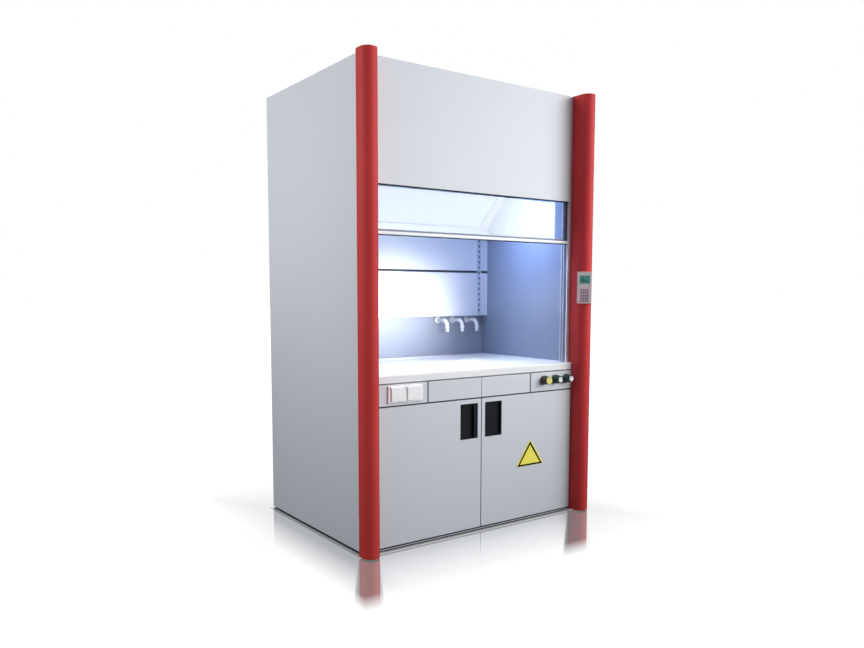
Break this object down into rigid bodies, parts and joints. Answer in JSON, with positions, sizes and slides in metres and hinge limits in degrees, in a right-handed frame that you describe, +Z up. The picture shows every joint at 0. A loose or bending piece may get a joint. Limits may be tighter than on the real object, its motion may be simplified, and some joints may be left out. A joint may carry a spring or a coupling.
{
  "type": "fume cupboard",
  "caption": "Ducted fume cupboard with rounded front columns, a vertically sliding glass sash, baffled chamber and outlets, on a two-door base cabinet.",
  "frame": {"origin": "centre of the footprint's box, on the floor", "axes": "+Z up, +X to the user's right, the sash and doors face -Y"},
  "size_m": [1.5, 1.146, 2.42],
  "materials": {
    "case_board": "light grey-blue laminate",
    "door_board": "light grey laminate",
    "column_red": "red powder coat",
    "duct_steel": "galvanised, coated",
    "feet_rubber": "matt",
    "rail_steel": "dark grey powder coat",
    "liner": "smooth solid-core laminate",
    "upright_alu": "anodised",
    "lamp": "emissive diffuser",
    "worktop_ceramic": "white, satin",
    "outlet_white": "white chemical-resistant coat",
    "grip_white": "white",
    "sash_alu": "dark slate, coated",
    "sash_glass": "clear safety glass",
    "guide_plastic": "low-friction plastic",
    "steel": "bright",
    "pulley_plastic": "moulded",
    "belt_rubber": "toothed belt",
    "socket_white": "white",
    "valve_brass": "turned",
    "knob_brown": "dark brown, textured",
    "knob_green": "dark green, textured",
    "cap_yellow": "yellow",
    "cap_white": "white",
    "handle_black": "near black",
    "plate_yellow": "yellow",
    "controller_white": "off-white",
    "display_green": "emissive dark green display",
    "keypad_grey": "mauve-grey foil"
  },
  "bodies": {
    "cupboard": {"side_panel_left": "case_board", "side_panel_right": "case_board", "rear_panel": "case_board", "roof_panel": "case_board", "upper_front_panel": "case_board", "base_sides": "case_board", "base_floor": "case_board", "base_shelf": "case_board", "plinth_rail": "case_board", "fascia_left": "case_board", "fascia_blanks": "case_board", "fascia_right": "case_board", "column_left": "column_red", "column_right": "column_red", "exhaust_spigot": "duct_steel", "levelling_feet": "feet_rubber", "base_top_rail": "rail_steel", "liner_left": "liner", "liner_right": "liner", "liner_back": "liner", "chamber_ceiling": "liner", "baffle_middle": "liner", "baffle_upper": "liner", "baffle_slope": "liner", "baffle_uprights": "upright_alu", "lamp_unit": "lamp", "worktop": "worktop_ceramic", "outlets": "outlet_white", "guide_strips": "guide_plastic", "sash_seals": "guide_plastic", "pulley_axles": "steel", "hinge_pivots": "steel", "sash_belts": "belt_rubber", "socket_frame": "socket_white", "valve_bodies": "valve_brass", "controller_housing": "controller_white", "controller_display": "display_green", "controller_keypad": "keypad_grey"},
    "sash": {"sash_handle": "grip_white", "sash_frame": "sash_alu", "sash_glass": "sash_glass", "sash_brackets": "steel"},
    "upper_sash": {"upper_sash_frame": "sash_alu", "upper_sash_glass": "sash_glass"},
    "counterweights": {"counterweights": "steel"},
    "top_pulleys": {"top_pulleys": "pulley_plastic"},
    "idlers": {"idlers": "pulley_plastic"},
    "door_left": {"door_left": "door_board", "handle_left": "handle_black"},
    "door_right": {"door_right": "door_board", "handle_right": "handle_black", "warning_plate": "plate_yellow"},
    "knob_1": {"knob_1": "knob_brown", "knob_cap_1": "cap_yellow"},
    "knob_2": {"knob_2": "knob_green", "knob_cap_2": "cap_white"},
    "knob_3": {"knob_3": "knob_green", "knob_cap_3": "cap_white"},
    "flap_left": {"socket_flap_left": "socket_white"},
    "flap_right": {"socket_flap_right": "socket_white"}
  },
  "joints": [
    {"name": "sash_travel", "type": "slide", "parent": "cupboard", "child": "sash", "axis": [0, 0, 1], "range_m": [-0.665, 0.155]},
    {"name": "upper_sash_travel", "type": "slide", "parent": "cupboard", "child": "upper_sash", "axis": [0, 0, 1], "range_m": [-0.3325, 0.0775]},
    {"name": "counterweight_travel", "type": "slide", "parent": "cupboard", "child": "counterweights", "axis": [0, 0, 1], "range_m": [-0.155, 0.665]},
    {"name": "top_pulley_spin", "type": "hinge", "parent": "cupboard", "child": "top_pulleys", "pos_m": [0, -0.46392, 2.29], "axis": [1, 0, 0], "continuous": true},
    {"name": "idler_spin", "type": "hinge", "parent": "cupboard", "child": "idlers", "pos_m": [0, -0.46392, 1.35], "axis": [1, 0, 0], "continuous": true},
    {"name": "door_left_hinge", "type": "hinge", "parent": "cupboard", "child": "door_left", "pos_m": [-0.642, -0.45392, 0.36], "axis": [0, 0, 1], "range_deg": [-90, 0]},
    {"name": "door_right_hinge", "type": "hinge", "parent": "cupboard", "child": "door_right", "pos_m": [0.642, -0.45392, 0.36], "axis": [0, 0, 1], "range_deg": [0, 90]},
    {"name": "flap_left_hinge", "type": "hinge", "parent": "cupboard", "child": "flap_left", "pos_m": [-0.53, -0.47602, 0.796], "axis": [1, 0, 0], "range_deg": [-100, 0], "stiffness_Nm_per_rad": 0.03, "springref_deg": 17.19},
    {"name": "flap_right_hinge", "type": "hinge", "parent": "cupboard", "child": "flap_right", "pos_m": [-0.436, -0.47602, 0.796], "axis": [1, 0, 0], "range_deg": [-100, 0], "stiffness_Nm_per_rad": 0.03, "springref_deg": 17.19},
    {"name": "knob_1_turn", "type": "hinge", "parent": "cupboard", "child": "knob_1", "pos_m": [0.445, -0.48792, 0.77], "axis": [0, -1, 0], "range_deg": [0, 270]},
    {"name": "knob_2_turn", "type": "hinge", "parent": "cupboard", "child": "knob_2", "pos_m": [0.531, -0.48792, 0.77], "axis": [0, -1, 0], "range_deg": [0, 270]},
    {"name": "knob_3_turn", "type": "hinge", "parent": "cupboard", "child": "knob_3", "pos_m": [0.617, -0.48792, 0.77], "axis": [0, -1, 0], "range_deg": [0, 270]}
  ],
  "couplings": [
    {"joint": "upper_sash_travel", "follows": "sash_travel", "ratio": 0.5},
    {"joint": "counterweight_travel", "follows": "sash_travel", "ratio": -1},
    {"joint": "top_pulley_spin", "follows": "sash_travel", "rad_per_m": 50},
    {"joint": "idler_spin", "follows": "sash_travel", "rad_per_m": 50}
  ]
}
